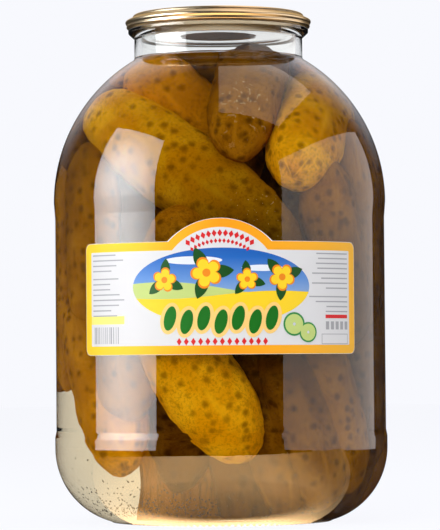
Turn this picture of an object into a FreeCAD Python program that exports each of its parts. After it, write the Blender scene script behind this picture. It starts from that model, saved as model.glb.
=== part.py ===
"""Three-litre preserve jar of pickled cucumbers, closed with a rolled-on tinplate lid.

Millimetres, +Z up. The origin is on the jar's axis, in the plane that it stands on, and the
label faces -Y. The glass, the brine and the lid take their sizes from the same cells, so that
each of them fits the next.
"""
import FreeCAD, Part
import Sketcher
import math
import os

Vector = FreeCAD.Vector

# Driving dimensions: alias, value, what it is. Everything else is worked out from these.
SIZES = [
    ("jar_diameter", 154.0, "outside of the body"),
    ("jar_height", 233.4, "standing plane to the sealing rim"),
    ("wall", 3.4, "glass thickness of body and shoulder"),
    ("panel_recess", 0.6, "depth of the label panel below the body"),
    ("panel_step", 1.8, "height of the slope at each edge of the panel"),
    ("panel_round", 2.5, "rounds at both edges of the panel"),
    ("panel_margin_low", 7.4, "heel to the panel's lower edge"),
    ("panel_margin_high", 1.6, "panel's upper edge to the shoulder"),
    ("heel_radius", 35.0, "round of the heel"),
    ("foot_outer_diameter", 103.0, "outer edge of the standing ring"),
    ("foot_ring_width", 8.0, "standing ring, from its outer to its inner edge"),
    ("push_up", 4.6, "rise of the base inside the standing ring"),
    ("base_thickness", 4.6, "glass at the middle of the base"),
    ("foot_thickness", 4.6, "glass over the standing ring"),
    ("floor_rounding", 9.0, "round between the floor and the inner heel"),
    ("knurl_count", 112, "bars round the standing ring"),
    ("knurl_depth", 0.5, "how far the bars stand below the ring"),
    ("knurl_root", 1.8, "width of a bar at the ring"),
    ("knurl_crest", 0.9, "width of a bar where it stands"),
    ("knurl_margin", 0.7, "ring left plain at each end of a bar"),
    ("knurl_bite", 0.3, "how far a bar runs up into the ring"),
    ("neck_diameter", 78.2, "outside of the neck"),
    ("neck_wall", 2.7, "glass thickness of the neck"),
    ("neck_height", 19.1, "sealing rim down to the shoulder"),
    ("neck_fillet", 5.0, "hollow round from shoulder to neck"),
    ("throat_fillet", 6.0, "round inside, from shoulder to neck"),
    ("transfer_bead", 2.8, "how far the lower bead stands out of the neck"),
    ("transfer_bead_drop", 5.2, "sealing rim to the top of the lower bead"),
    ("transfer_bead_height", 1.4, "straight side of the lower bead"),
    ("transfer_bead_slope", 2.6, "height of its sloping underside"),
    ("transfer_bead_foot", 2.0, "round where that underside leaves the neck"),
    ("transfer_bead_round", 1.2, "round below the lower bead's straight side"),
    ("finish_round", 0.4, "rounds of the groove and of the edges beside it"),
    ("finish_groove_step", 0.3, "rise from the lower bead to the groove"),
    ("finish_groove", 1.1, "groove under the crown, out from the neck"),
    ("finish_groove_height", 1.3, "straight side of that groove"),
    ("crown_bead", 2.4, "how far the crown stands out of the neck"),
    ("crown_height", 1.7, "straight side of the crown"),
    ("crown_shoulder", 1.1, "slope from the crown up to the rim"),
    ("crown_round", 0.5, "rounds of the crown's upper slope"),
    ("rim_rounding", 0.8, "inner edge of the rim"),
    ("headspace", 19.1, "sealing rim down to the brine"),
    ("tinplate", 0.25, "thickness of the lid"),
    ("lid_clearance", 0.3, "lid wall to the glass beside it"),
    ("lid_ring_rise", 1.6, "inside of the top ring above the sealing rim"),
    ("lid_ring_width", 3.3, "width of the top ring, inside"),
    ("lid_ring_round", 0.9, "rounds of the top ring"),
    ("lid_ledge", 0.35, "inside of the ledge above the sealing rim"),
    ("lid_ledge_run", 0.35, "lean of the top ring's outer side"),
    ("lid_ledge_round", 0.5, "round between the top ring and the upper lip"),
    ("lid_flange", 2.6, "upper lip, out from the crown"),
    ("lid_flange_drop", 1.4, "upper lip below the sealing rim"),
    ("lid_flange_round", 0.7, "round of the upper lip"),
    ("lid_waist", 0.75, "waist between the lips, out from the crown"),
    ("lid_waist_drop", 2.9, "waist below the sealing rim"),
    ("lid_waist_round", 0.4, "round of the waist"),
    ("lid_roll", 1.15, "lower lip, out from the crown"),
    ("lid_roll_drop", 4.0, "lower lip below the sealing rim"),
    ("lid_roll_round", 0.5, "round of the lower lip"),
    ("lid_hem", 0.55, "turned-in edge, out from the groove"),
    ("lid_hem_rise", 0.55, "turned-in edge above the lower bead"),
    ("lid_well_depth", 8.6, "sealing rim down to the countersink"),
    ("lid_wall_draft", 1.1, "how far the lid's inner wall leans"),
    ("lid_countersink", 3.0, "width of the countersink's floor"),
    ("lid_sink_round", 1.2, "round between the countersink and the lid's inner wall"),
    ("lid_panel_rise", 1.0, "panel above the countersink"),
    ("lid_disc_rise", 0.6, "middle disc above the panel"),
    ("lid_disc_diameter", 35.0, "middle disc"),
    ("lid_step", 1.1, "run of each sloping step in the panel"),
    ("lid_bend", 0.6, "inside bend of the tinplate"),
    ("label_height", 50.0, "straight part of the label"),
    ("label_base", 76.8, "lower edge of the label above the standing plane"),
    ("label_width", 138.4, "length of the label round the jar"),
    ("label_arch_width", 46.4, "width of the arch on the label's upper edge"),
    ("label_arch_rise", 10.1, "height of that arch"),
    ("label_corner", 3.0, "round of the label's corners"),
    ("label_overlap", 1.0, "how far the arch runs down into the straight part"),
    ("label_thickness", 0.15, "paper and glue"),
    ("gherkin_length", 76.0, "cucumber that stands out of the brine"),
    ("gherkin_thickness", 29.0, "that cucumber at its middle"),
    ("gherkin_scar", 5.0, "flat scar at each of its ends"),
    ("gherkin_bow", 2.5, "how far its middle bows out"),
    ("gherkin_lobes", 0.035, "share by which its three sides flatten"),
    ("gherkin_twist", 0.8, "turn of those sides from end to end, radians"),
    ("gherkin_bluntness", 2.6, "power that sets how blunt its ends are"),
    ("gherkin_tilt", 45.0, "lean of its axis from upright, degrees"),
    ("gherkin_turn", -100.0, "direction in which its lower end points, degrees from +X"),
    ("gherkin_clearance", 4.4, "its flank to the neck's inside, at its upper end"),
    ("gherkin_front", 1.0, "its upper end in front of the axis"),
    ("gherkin_above", 2.4, "its upper end above the brine"),
]


# ---- Sizes that follow from the sheet, written as expressions -------------------------------

def half(alias):
    return f"(Sizes.{alias} / 2)"


BODY = half("jar_diameter")
NECK = half("neck_diameter")
RIM = "Sizes.jar_height"
PANEL = f"({BODY} - Sizes.panel_recess)"
INSIDE = f"({BODY} - Sizes.wall)"
MOUTH = f"({NECK} - Sizes.neck_wall)"
FOOT_OUT = half("foot_outer_diameter")
FOOT_IN = f"({FOOT_OUT} - Sizes.foot_ring_width)"
LAND = "Sizes.knurl_depth"
HEEL_AXIS = f"({BODY} - Sizes.heel_radius)"
HEEL_TOP = f"({LAND} + sqrt(Sizes.heel_radius ^ 2 - ({FOOT_OUT} - {HEEL_AXIS}) ^ 2))"
NECK_FOOT = f"({RIM} - Sizes.neck_height)"
SPRING = f"({NECK_FOOT} - sqrt({BODY} ^ 2 - {NECK} ^ 2))"
THROAT = f"({SPRING} + sqrt({INSIDE} ^ 2 - {MOUTH} ^ 2))"
PANEL_LOW = f"({HEEL_TOP} + Sizes.panel_margin_low)"
PANEL_HIGH = f"({SPRING} - Sizes.panel_margin_high)"
BASE_TOP = f"({LAND} + Sizes.push_up)"
FLOOR_MIDDLE = f"({BASE_TOP} + Sizes.base_thickness)"
FLOOR_LOW = f"({LAND} + Sizes.foot_thickness)"
INNER_HEEL = "(Sizes.heel_radius - Sizes.wall)"
FLOOR_EDGE = f"({HEEL_AXIS} + sqrt({INNER_HEEL} ^ 2 - ({HEEL_TOP} - {FLOOR_LOW}) ^ 2))"
BEAD = f"({NECK} + Sizes.transfer_bead)"
BEAD_TOP = f"({RIM} - Sizes.transfer_bead_drop)"
BEAD_LOW = f"({BEAD_TOP} - Sizes.transfer_bead_height)"
GROOVE = f"({NECK} + Sizes.finish_groove)"
GROOVE_LOW = f"({BEAD_TOP} + Sizes.finish_groove_step)"
CROWN = f"({NECK} + Sizes.crown_bead)"
CROWN_TOP = f"({RIM} - Sizes.crown_shoulder)"
CROWN_LOW = f"({CROWN_TOP} - Sizes.crown_height)"
BRINE_LEVEL = f"({RIM} - Sizes.headspace)"
GHERKIN_SIDE = f"({MOUTH} - Sizes.gherkin_thickness / 2 - Sizes.gherkin_clearance)"

# How far a cutting outline reaches past what it cuts, in millimetres.
PAST = 5
# Cross-sections along the cucumber, and points round each of them.
STATIONS = 12
POINTS_ROUND = 12


def dome_radius(reach, rise):
    """Radius of the shallow dome that rises by rise over a circle of radius reach."""
    return f"(({reach} ^ 2 + ({rise}) ^ 2) / (2 * ({rise})))"


def value(sheet, expression):
    return float(sheet.evalExpression(expression))


# ---- Sketch work ----------------------------------------------------------------------------

class Corner:
    """A corner of an outline. across and up are expressions; round is the radius that rounds it;
    arc is the radius of the stretch to the next corner, with its centre on side, seen along it."""

    def __init__(self, across, up, round=None, arc=None, side="left"):
        self.across = across
        self.up = up
        self.round = round
        self.arc = arc
        self.side = side


class Outline:
    """Draws corners into a sketch as lines and arcs, and ties every one of them to the sheet."""

    def __init__(self, sheet, sketch, corners, closed=True):
        self.sheet = sheet
        self.sketch = sketch
        self.corners = corners
        self.closed = closed
        self.constraints = []
        self.ties = []
        self.places = [Vector(value(sheet, c.across), value(sheet, c.up), 0) for c in corners]
        self.marks = [self.mark(i) for i in range(len(corners))]
        self.draw()
        sketch.addConstraint(self.constraints)
        for index, expression in self.ties:
            sketch.setExpression(f"Constraints[{index}]", expression)

    def add(self, *arguments):
        self.constraints.append(Sketcher.Constraint(*arguments))

    def tie(self, expression, *arguments):
        """Adds a dimension whose datum is the expression."""
        self.ties.append((len(self.constraints), expression))
        self.add(*arguments, value(self.sheet, expression))

    def mark(self, i):
        """A construction point at corner i, dimensioned from the sketch's origin."""
        point = self.sketch.addGeometry(Part.Point(self.places[i]), True)
        for kind, axis, expression in (
            ("DistanceX", -2, self.corners[i].across),
            ("DistanceY", -1, self.corners[i].up),
        ):
            distance = value(self.sheet, expression)
            if abs(distance) < 1e-9:
                self.add("PointOnObject", point, 1, axis)
            elif distance > 0:
                self.tie(expression, kind, -1, 1, point, 1)
            else:
                self.tie(f"-({expression})", kind, point, 1, -1, 1)
        return point

    def rounding(self, i):
        """Arc that rounds corner i, with its end points in the order of travel."""
        corner = self.places[i]
        radius = value(self.sheet, self.corners[i].round)
        back = (self.places[i - 1] - corner).normalize()
        ahead = (self.places[(i + 1) % len(self.places)] - corner).normalize()
        half_angle = back.getAngle(ahead) / 2
        reach = radius / math.tan(half_angle)
        middle = (back + ahead).normalize() * (radius / math.sin(half_angle))
        return corner + back * reach, corner + ahead * reach, corner + middle, radius

    def draw(self):
        count = len(self.corners)
        last = count if self.closed else count - 1
        rounds = {i: self.rounding(i) for i in range(count) if self.corners[i].round}
        joins = {}
        for i in range(last):
            following = (i + 1) % count
            start = rounds[i][1] if i in rounds else self.places[i]
            end = rounds[following][0] if following in rounds else self.places[following]
            if self.corners[i].arc:
                ends = self.arc_between(start, end, i)
                self.add("Coincident", ends[0], ends[1], self.marks[i], 1)
                self.add("Coincident", ends[2], ends[3], self.marks[following], 1)
                continue
            line = self.sketch.addGeometry(Part.LineSegment(start, end), False)
            for corner, end_number in ((i, 1), (following, 2)):
                if corner in rounds:
                    self.add("PointOnObject", self.marks[corner], 1, line)
                    joins.setdefault(corner, {})[end_number] = line
                else:
                    self.add("Coincident", line, end_number, self.marks[corner], 1)
        for i, (start, end, centre, radius) in rounds.items():
            arc, first, second = self.arc_about(centre, radius, start, end)
            self.add("Tangent", joins[i][2], 2, arc, first)
            self.add("Tangent", arc, second, joins[i][1], 1)
            self.tie(self.corners[i].round, "Radius", arc)

    def arc_between(self, start, end, i):
        """The arc that leaves corner i. Returns its two ends as geometry and point numbers."""
        radius = value(self.sheet, self.corners[i].arc)
        chord = end - start
        left = Vector(-chord.y, chord.x, 0).normalize()
        offset = math.sqrt(max(radius ** 2 - (chord.Length / 2) ** 2, 0.0))
        if self.corners[i].side == "right":
            offset = -offset
        centre = (start + end) * 0.5 + left * offset
        arc, first, second = self.arc_about(centre, radius, start, end)
        self.tie(self.corners[i].arc, "Radius", arc)
        return arc, first, arc, second

    def arc_about(self, centre, radius, start, end):
        """A minor arc from start to end, and the numbers of the end points at start and end."""
        angles = [math.atan2(p.y - centre.y, p.x - centre.x) for p in (start, end)]
        turn = (angles[1] - angles[0]) % (2 * math.pi)
        forward = turn < math.pi
        low, high = angles if forward else reversed(angles)
        circle = Part.Circle(centre, Vector(0, 0, 1), radius)
        arc = self.sketch.addGeometry(Part.ArcOfCircle(circle, low, high), False)
        return (arc, 1, 2) if forward else (arc, 2, 1)


def origin_plane(body, role):
    return next(f for f in body.Origin.OriginFeatures if f.Role == role)


def body_sketch(sheet, body, name, role, corners, shift=None):
    """A closed sketch on one of the body's own origin planes, moved off it by shift."""
    sketch = body.newObject("Sketcher::SketchObject", name)
    sketch.AttachmentSupport = [(origin_plane(body, role), "")]
    sketch.MapMode = "FlatFace"
    if shift:
        sketch.setExpression("AttachmentOffset.Base.z", shift)
    Outline(sheet, sketch, corners)
    return sketch


def turned(body, name, kind, sketch, angle=None):
    """A revolution or groove about Z, all the way round or centred over an angle."""
    feature = body.newObject(kind, name)
    feature.Profile = sketch
    feature.ReferenceAxis = (sketch, ["V_Axis"])
    if angle:
        feature.Midplane = True
        feature.setExpression("Angle", angle)
    else:
        feature.Angle = 360
    return feature


def ring_edges(feature, radius, height):
    """Names of the feature's round edges about Z that have this radius and height."""
    names = []
    for number, edge in enumerate(feature.Shape.Edges, start=1):
        if edge.Degenerated:
            continue
        curve = edge.Curve
        if not isinstance(curve, Part.Circle):
            continue
        if abs(curve.Radius - radius) < 1e-4 and abs(curve.Center.z - height) < 1e-4:
            names.append(f"Edge{number}")
    return names


def rounded(body, name, feature, edges, radius):
    fillet = body.newObject("PartDesign::Fillet", name)
    fillet.Base = (feature, edges)
    fillet.setExpression("Radius", radius)
    return fillet


# ---- Sub-parts ------------------------------------------------------------------------------

def jar_blank(doc, sheet):
    """Outside of the glass: knurled standing ring, heel, label panel, shoulder, neck, finish."""
    body = doc.addObject("PartDesign::Body", "jar_blank")
    body.Label = "jar_blank"
    panel_edge_low = f"({PANEL_LOW} + Sizes.panel_step)"
    panel_edge_high = f"({PANEL_HIGH} - Sizes.panel_step)"
    bead_foot = f"({BEAD_LOW} - Sizes.transfer_bead_slope)"
    groove_top = f"({GROOVE_LOW} + Sizes.finish_groove_height)"
    corners = [
        Corner("0", BASE_TOP, arc=dome_radius(FOOT_IN, "Sizes.push_up"), side="right"),
        Corner(FOOT_IN, LAND),
        Corner(FOOT_OUT, LAND, arc="Sizes.heel_radius"),
        Corner(BODY, HEEL_TOP),
        Corner(BODY, PANEL_LOW, round="Sizes.panel_round"),
        Corner(PANEL, panel_edge_low, round="Sizes.panel_round"),
        Corner(PANEL, panel_edge_high, round="Sizes.panel_round"),
        Corner(BODY, PANEL_HIGH, round="Sizes.panel_round"),
        Corner(BODY, SPRING, arc=BODY),
        Corner(NECK, NECK_FOOT),
        Corner(NECK, bead_foot, round="Sizes.transfer_bead_foot"),
        Corner(BEAD, BEAD_LOW, round="Sizes.transfer_bead_round"),
        Corner(BEAD, BEAD_TOP, round="Sizes.finish_round"),
        Corner(GROOVE, GROOVE_LOW, round="Sizes.finish_round"),
        Corner(GROOVE, groove_top, round="Sizes.finish_round"),
        Corner(CROWN, CROWN_LOW, round="Sizes.finish_round"),
        Corner(CROWN, CROWN_TOP, round="Sizes.crown_round"),
        Corner(GROOVE, RIM, round="Sizes.crown_round"),
        Corner("0", RIM),
    ]
    section = body_sketch(sheet, body, "glass_outline", "XZ_Plane", corners)
    blown = turned(body, "blown_glass", "PartDesign::Revolution", section)
    doc.recompute()
    neck_edge = ring_edges(blown, value(sheet, NECK), value(sheet, NECK_FOOT))
    rounded(body, "neck_fillet", blown, neck_edge, "Sizes.neck_fillet")
    doc.recompute()
    knurl_ring(doc, sheet, body, section)
    return body


def knurl_ring(doc, sheet, body, upright):
    """Low tapered bars round the standing ring, which keep the foot from sliding and wearing."""
    root = half("knurl_root")
    crest = half("knurl_crest")
    top = f"({LAND} + Sizes.knurl_bite)"
    corners = [
        Corner(f"-{crest}", "0"),
        Corner(crest, "0"),
        Corner(root, LAND),
        Corner(root, top),
        Corner(f"-{root}", top),
        Corner(f"-{root}", LAND),
    ]
    start = f"({FOOT_IN} + Sizes.knurl_margin)"
    section = body_sketch(sheet, body, "knurl_section", "YZ_Plane", corners, shift=start)
    bar = body.newObject("PartDesign::Pad", "knurl")
    bar.Profile = section
    bar.setExpression("Length", f"{FOOT_OUT} - {FOOT_IN} - 2 * Sizes.knurl_margin")
    doc.recompute()
    before = bar.Shape.Volume
    ring = body.newObject("PartDesign::PolarPattern", "knurl_ring")
    ring.Originals = [bar]
    ring.Axis = (upright, ["V_Axis"])
    ring.Angle = 360
    ring.setExpression("Occurrences", "Sizes.knurl_count")
    body.Tip = ring
    doc.recompute()
    if ring.Shape.Volume <= before:
        raise ValueError("the knurls were not repeated round the ring")


def hollow(doc, sheet):
    """Inside of the glass as a solid: it is cut from the blank, and the brine fills its lower part."""
    body = doc.addObject("PartDesign::Body", "hollow")
    body.Label = "hollow"
    rise = f"({FLOOR_MIDDLE} - {FLOOR_LOW})"
    above = f"({RIM} + {PAST})"
    lip = f"({MOUTH} + Sizes.rim_rounding)"
    corners = [
        Corner("0", FLOOR_MIDDLE, arc=dome_radius(FLOOR_EDGE, rise), side="right"),
        Corner(FLOOR_EDGE, FLOOR_LOW, arc=INNER_HEEL),
        Corner(INSIDE, HEEL_TOP),
        Corner(INSIDE, SPRING, arc=INSIDE),
        Corner(MOUTH, THROAT),
        Corner(MOUTH, f"({RIM} - Sizes.rim_rounding)", arc="Sizes.rim_rounding", side="right"),
        Corner(lip, RIM),
        Corner(lip, above),
        Corner("0", above),
    ]
    section = body_sketch(sheet, body, "hollow_outline", "XZ_Plane", corners)
    shape = turned(body, "hollow_shape", "PartDesign::Revolution", section)
    doc.recompute()
    floor_edge = ring_edges(shape, value(sheet, FLOOR_EDGE), value(sheet, FLOOR_LOW))
    floor = rounded(body, "floor_rounding", shape, floor_edge, "Sizes.floor_rounding")
    doc.recompute()
    throat_edge = ring_edges(floor, value(sheet, MOUTH), value(sheet, THROAT))
    rounded(body, "throat_fillet", floor, throat_edge, "Sizes.throat_fillet")
    doc.recompute()
    return body


def cut(doc, name, base, tool):
    """base less tool, under a label of its own."""
    result = doc.addObject("Part::Cut", name)
    result.Label = name
    result.Base = base
    result.Tool = tool
    doc.recompute()
    if result.Shape.Volume >= base.Shape.Volume:
        raise ValueError(f"nothing was cut from {base.Label}")
    return result


def gherkin(doc, sheet):
    """The cucumber whose upper end stands out of the brine: three-sided, bowed, with end scars."""
    length = sheet.gherkin_length
    thickness = sheet.gherkin_thickness
    wires = []
    for i in range(STATIONS + 1):
        along = 0.5 - 0.5 * math.cos(math.pi * i / STATIONS)
        swell = math.sqrt(1 - abs(2 * along - 1) ** sheet.gherkin_bluntness)
        radius = sheet.gherkin_scar / 2 + (thickness - sheet.gherkin_scar) / 2 * swell
        bow = sheet.gherkin_bow * math.sin(math.pi * along)
        ring = []
        for j in range(POINTS_ROUND):
            angle = 2 * math.pi * j / POINTS_ROUND
            lobe = math.cos(3 * angle + sheet.gherkin_twist * along)
            reach = radius * (1 + sheet.gherkin_lobes * lobe)
            across = bow + reach * math.cos(angle)
            ring.append(Vector(across, reach * math.sin(angle), -length * along))
        curve = Part.BSplineCurve()
        curve.interpolate(ring, PeriodicFlag=True)
        wires.append(Part.Wire(curve.toShape()))
    fruit = doc.addObject("Part::Feature", "gherkin")
    fruit.Label = "gherkin"
    fruit.Shape = Part.makeLoft(wires, True, False)
    lean = FreeCAD.Rotation(Vector(0, 1, 0), -sheet.gherkin_tilt)
    turn = FreeCAD.Rotation(Vector(0, 0, 1), sheet.gherkin_turn)
    fruit.Placement = FreeCAD.Placement(Vector(), turn * lean)
    fruit.setExpression("Placement.Base.x", GHERKIN_SIDE)
    fruit.setExpression("Placement.Base.y", "-Sizes.gherkin_front")
    fruit.setExpression("Placement.Base.z", f"{BRINE_LEVEL} + Sizes.gherkin_above")
    doc.recompute()
    return fruit


def brine(doc, filling, fruit):
    """The hollow up to the brine's level, less the cucumber that stands in it."""
    level = doc.addObject("Part::Cylinder", "brine_level")
    level.setExpression("Radius", BODY)
    level.setExpression("Height", BRINE_LEVEL)
    fill = doc.addObject("Part::Common", "filled_hollow")
    fill.Base = filling
    fill.Tool = level
    doc.recompute()
    return cut(doc, "brine", fill, fruit)


def lid(doc, sheet):
    """Rolled-on lid: one line of the sheet's inside face, given its thickness and turned."""
    line = doc.addObject("Sketcher::SketchObject", "lid_line")
    upright = FreeCAD.Rotation(Vector(1, 0, 0), 90)
    line.Placement = FreeCAD.Placement(Vector(), upright)
    bend = "Sizes.lid_bend"
    sink = f"({RIM} - Sizes.lid_well_depth)"
    panel = f"({sink} + Sizes.lid_panel_rise)"
    disc = f"({panel} + Sizes.lid_disc_rise)"
    crest = f"({RIM} + Sizes.lid_ring_rise)"
    wall_top = f"({MOUTH} - Sizes.lid_clearance)"
    wall_foot = f"({wall_top} - Sizes.lid_wall_draft)"
    sink_in = f"({wall_foot} - Sizes.lid_countersink)"
    ring_out = f"({wall_top} + Sizes.lid_ring_width)"
    disc_edge = half("lid_disc_diameter")
    ledge = f"({RIM} + Sizes.lid_ledge)"
    flange = f"({CROWN} + Sizes.lid_flange)"
    waist = f"({CROWN} + Sizes.lid_waist)"
    roll = f"({CROWN} + Sizes.lid_roll)"
    corners = [
        Corner("0", disc),
        Corner(disc_edge, disc, round=bend),
        Corner(f"({disc_edge} + Sizes.lid_step)", panel, round=bend),
        Corner(f"({sink_in} - Sizes.lid_step)", panel, round=bend),
        Corner(sink_in, sink, round=bend),
        Corner(wall_foot, sink, round="Sizes.lid_sink_round"),
        Corner(wall_top, crest, round="Sizes.lid_ring_round"),
        Corner(ring_out, crest, round="Sizes.lid_ring_round"),
        Corner(f"({ring_out} + Sizes.lid_ledge_run)", ledge, round="Sizes.lid_ledge_round"),
        Corner(flange, f"({RIM} - Sizes.lid_flange_drop)", round="Sizes.lid_flange_round"),
        Corner(waist, f"({RIM} - Sizes.lid_waist_drop)", round="Sizes.lid_waist_round"),
        Corner(roll, f"({RIM} - Sizes.lid_roll_drop)", round="Sizes.lid_roll_round"),
        Corner(f"({GROOVE} + Sizes.lid_hem)", f"({BEAD_TOP} + Sizes.lid_hem_rise)"),
    ]
    Outline(sheet, line, corners, closed=False)
    sheet_metal = doc.addObject("Part::Offset2D", "lid_sheet")
    sheet_metal.Source = line
    sheet_metal.Mode = "Skin"
    sheet_metal.Fill = True
    sheet_metal.setExpression("Value", "Sizes.tinplate")
    pressed = doc.addObject("Part::Revolution", "lid")
    pressed.Label = "lid"
    pressed.Source = sheet_metal
    pressed.Axis = Vector(0, 0, 1)
    pressed.Angle = 360
    pressed.Solid = True
    doc.recompute()
    return pressed


def label(doc, sheet):
    """Paper label on the recessed panel: a band with round corners and an arch on its upper edge."""
    body = doc.addObject("PartDesign::Body", "label")
    body.Label = "label"
    face = f"({PANEL} + Sizes.label_thickness)"
    top = "(Sizes.label_base + Sizes.label_height)"
    peak = f"({top} + Sizes.label_arch_rise)"
    band = body_sketch(sheet, body, "band_section", "XZ_Plane", [
        Corner(PANEL, "Sizes.label_base"),
        Corner(face, "Sizes.label_base"),
        Corner(face, top),
        Corner(PANEL, top),
    ])
    span = f"(Sizes.label_width / {face} * 180 / pi)"
    paper = turned(body, "band", "PartDesign::Revolution", band, angle=span)
    doc.recompute()
    corner_edges = []
    for number, edge in enumerate(paper.Shape.Edges, start=1):
        if edge.Length < 2 * sheet.label_thickness:
            corner_edges.append(f"Edge{number}")
    trimmed = rounded(body, "band_corners", paper, corner_edges, "Sizes.label_corner")
    body.Tip = trimmed
    doc.recompute()

    overlap = f"({top} - Sizes.label_overlap)"
    strip = body_sketch(sheet, body, "arch_section", "XZ_Plane", [
        Corner(PANEL, overlap),
        Corner(face, overlap),
        Corner(face, peak),
        Corner(PANEL, peak),
    ])
    chord = half("label_arch_width")
    arch_span = f"(2 * asin({chord} / {face}))"
    turned(body, "arch_strip", "PartDesign::Revolution", strip, angle=arch_span)
    doc.recompute()
    above = f"({peak} + {PAST})"
    beside = f"({chord} + {PAST})"
    rise = "Sizes.label_arch_rise"
    outside = body_sketch(sheet, body, "arch_outline", "YZ_Plane", [
        Corner(f"-{chord}", top, arc=dome_radius(chord, rise), side="right"),
        Corner(chord, top),
        Corner(beside, top),
        Corner(beside, above),
        Corner(f"-{beside}", above),
        Corner(f"-{beside}", top),
    ])
    before = body.Shape.Volume
    trim = body.newObject("PartDesign::Pocket", "arch_trim")
    trim.Profile = outside
    trim.Type = "ThroughAll"
    trim.Reversed = True
    doc.recompute()
    if trim.Shape.Volume >= before:
        raise ValueError("the arch was not trimmed")
    body.Placement = FreeCAD.Placement(Vector(), FreeCAD.Rotation(Vector(0, 0, 1), -90))
    doc.recompute()
    return body


# ---- The document ---------------------------------------------------------------------------

def fill_sheet(doc):
    sheet = doc.addObject("Spreadsheet::Sheet", "Sizes")
    for row, (alias, size, note) in enumerate(SIZES, start=1):
        sheet.set(f"A{row}", alias)
        sheet.set(f"B{row}", str(size))
        sheet.set(f"C{row}", note)
        sheet.setAlias(f"B{row}", alias)
    doc.recompute()
    return sheet


def check(doc, parts):
    """Stops before anything is written if a feature failed or a part isn't one valid solid."""
    for item in doc.Objects:
        if "Invalid" in item.State or "Error" in item.State:
            raise ValueError(f"{item.Label} failed: {item.State}")
    for part in parts:
        shape = part.Shape
        if shape.isNull() or not shape.isValid() or len(shape.Solids) != 1:
            raise ValueError(f"{part.Label} isn't one valid solid")


def main():
    doc = FreeCAD.newDocument("pickle_jar")
    sheet = fill_sheet(doc)
    inside = hollow(doc, sheet)
    glass = cut(doc, "jar", jar_blank(doc, sheet), inside)
    fruit = gherkin(doc, sheet)
    parts = [glass, lid(doc, sheet), label(doc, sheet), fruit, brine(doc, inside, fruit)]
    check(doc, parts)
    os.makedirs("parts", exist_ok=True)
    for part in parts:
        part.Shape.exportStep(f"parts/{part.Label}.step")
        box = part.Shape.BoundBox
        print(f"{part.Label}: {part.Shape.Volume / 1000:.2f} ml, z {box.ZMin:.2f} to {box.ZMax:.2f}")


main()
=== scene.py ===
"""A three-litre glass jar of pickled cucumbers under a gold tinplate lid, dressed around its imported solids."""

import math
import random

import bpy
from mathutils import Matrix, Vector


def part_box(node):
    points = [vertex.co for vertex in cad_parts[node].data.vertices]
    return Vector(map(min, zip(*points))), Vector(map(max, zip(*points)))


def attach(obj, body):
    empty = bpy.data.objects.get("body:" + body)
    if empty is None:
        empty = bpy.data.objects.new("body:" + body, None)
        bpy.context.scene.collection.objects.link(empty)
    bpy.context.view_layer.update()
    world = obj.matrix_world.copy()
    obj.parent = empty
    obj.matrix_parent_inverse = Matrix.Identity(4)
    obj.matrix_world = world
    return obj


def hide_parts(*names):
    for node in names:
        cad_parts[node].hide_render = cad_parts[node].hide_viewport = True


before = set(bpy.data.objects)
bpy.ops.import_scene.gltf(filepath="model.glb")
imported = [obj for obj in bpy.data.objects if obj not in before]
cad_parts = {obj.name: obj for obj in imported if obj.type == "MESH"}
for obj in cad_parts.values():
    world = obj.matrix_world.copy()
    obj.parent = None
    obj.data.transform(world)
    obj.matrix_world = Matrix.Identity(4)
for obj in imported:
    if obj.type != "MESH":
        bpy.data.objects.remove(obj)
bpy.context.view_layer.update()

MM = 0.001

# ---------------------------------------------------------------- sizes of the jar, in millimetres
jar_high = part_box("jar")[1]
lid_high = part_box("lid")[1]
brine_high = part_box("brine")[1]
label_low, label_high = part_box("label")

BODY = jar_high.x / MM  # outside of the body
RIM = jar_high.z / MM  # sealing rim above the floor
WALL = 3.4  # glass of body and shoulder
HEEL = 35.0  # round of the heel
RECESS = 0.6  # label panel below the body
STEP_ROUND = 2.6  # rounds of the panel's lower step
FADE_ROUND = 9  # round where the panel's upper end fades into the body
NECK = 39.1  # outside of the neck
NECK_ROUND = 2.0  # hollow round between shoulder and neck
MOUTH = 36.4  # inside of the neck
MOUTH_ROUND = 3.4  # hollow round between them on the inside
TRANSFER_BEAD = 2.8  # how far each bead of the finish stands out from the neck
GROOVE = 1.1
SEALING_BEAD = 2.4
PUSH_UP = 4.6  # rise of the foot's dome, outside and inside
FLOOR = 5.1  # glass floor above the table, at its edge
LEVEL = brine_high.z / MM - 1.2  # brine surface at the glass
DIP = 0.7  # the surface is this much lower away from the glass
CLIMB = 3.0  # and climbs over this much next to it
RING = 0.5  # standing ring above the floor, between the knurls
RING_IN = 43.5
RING_OUT = 51.5
KNURLS = 112
STEPS_PER_KNURL = 4
INSIDE = BODY - WALL
HEEL_AXIS = BODY - HEEL
HEEL_TOP = RING + math.sqrt(HEEL**2 - (RING_OUT - HEEL_AXIS) ** 2)
SPRING = RIM - 19.1 - math.sqrt(BODY**2 - NECK**2)  # where body turns into shoulder
PANEL_LOW = HEEL_TOP + 7.4  # lower step of the label panel
PANEL_HIGH = SPRING - 1.6  # its upper end
INTO_WALL = 0.35  # how far the brine reaches into the glass
PAPER = label_high.z / MM  # top of the label's arch
LABEL_FACE = -label_low.y / MM  # radius of the label's printed face


# ---------------------------------------------------------------- colours and materials
def linear(code):
    """Turns an sRGB hex colour into the linear values that a shader takes."""
    parts = [int(code[i : i + 2], 16) / 255 for i in (1, 3, 5)]
    return tuple(p / 12.92 if p <= 0.04045 else ((p + 0.055) / 1.055) ** 2.4 for p in parts) + (1.0,)


def add(material, kind, settings=None, links=None):
    """Adds a node to a material, sets its properties or sockets and links what feeds it."""
    made = material.node_tree.nodes.new(kind)
    for key, value in (settings or {}).items():
        if isinstance(key, str) and hasattr(made, key):
            setattr(made, key, value)
        else:
            made.inputs[key].default_value = value
    for key, socket in (links or {}).items():
        material.node_tree.links.new(socket, made.inputs[key])
    return made


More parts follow.
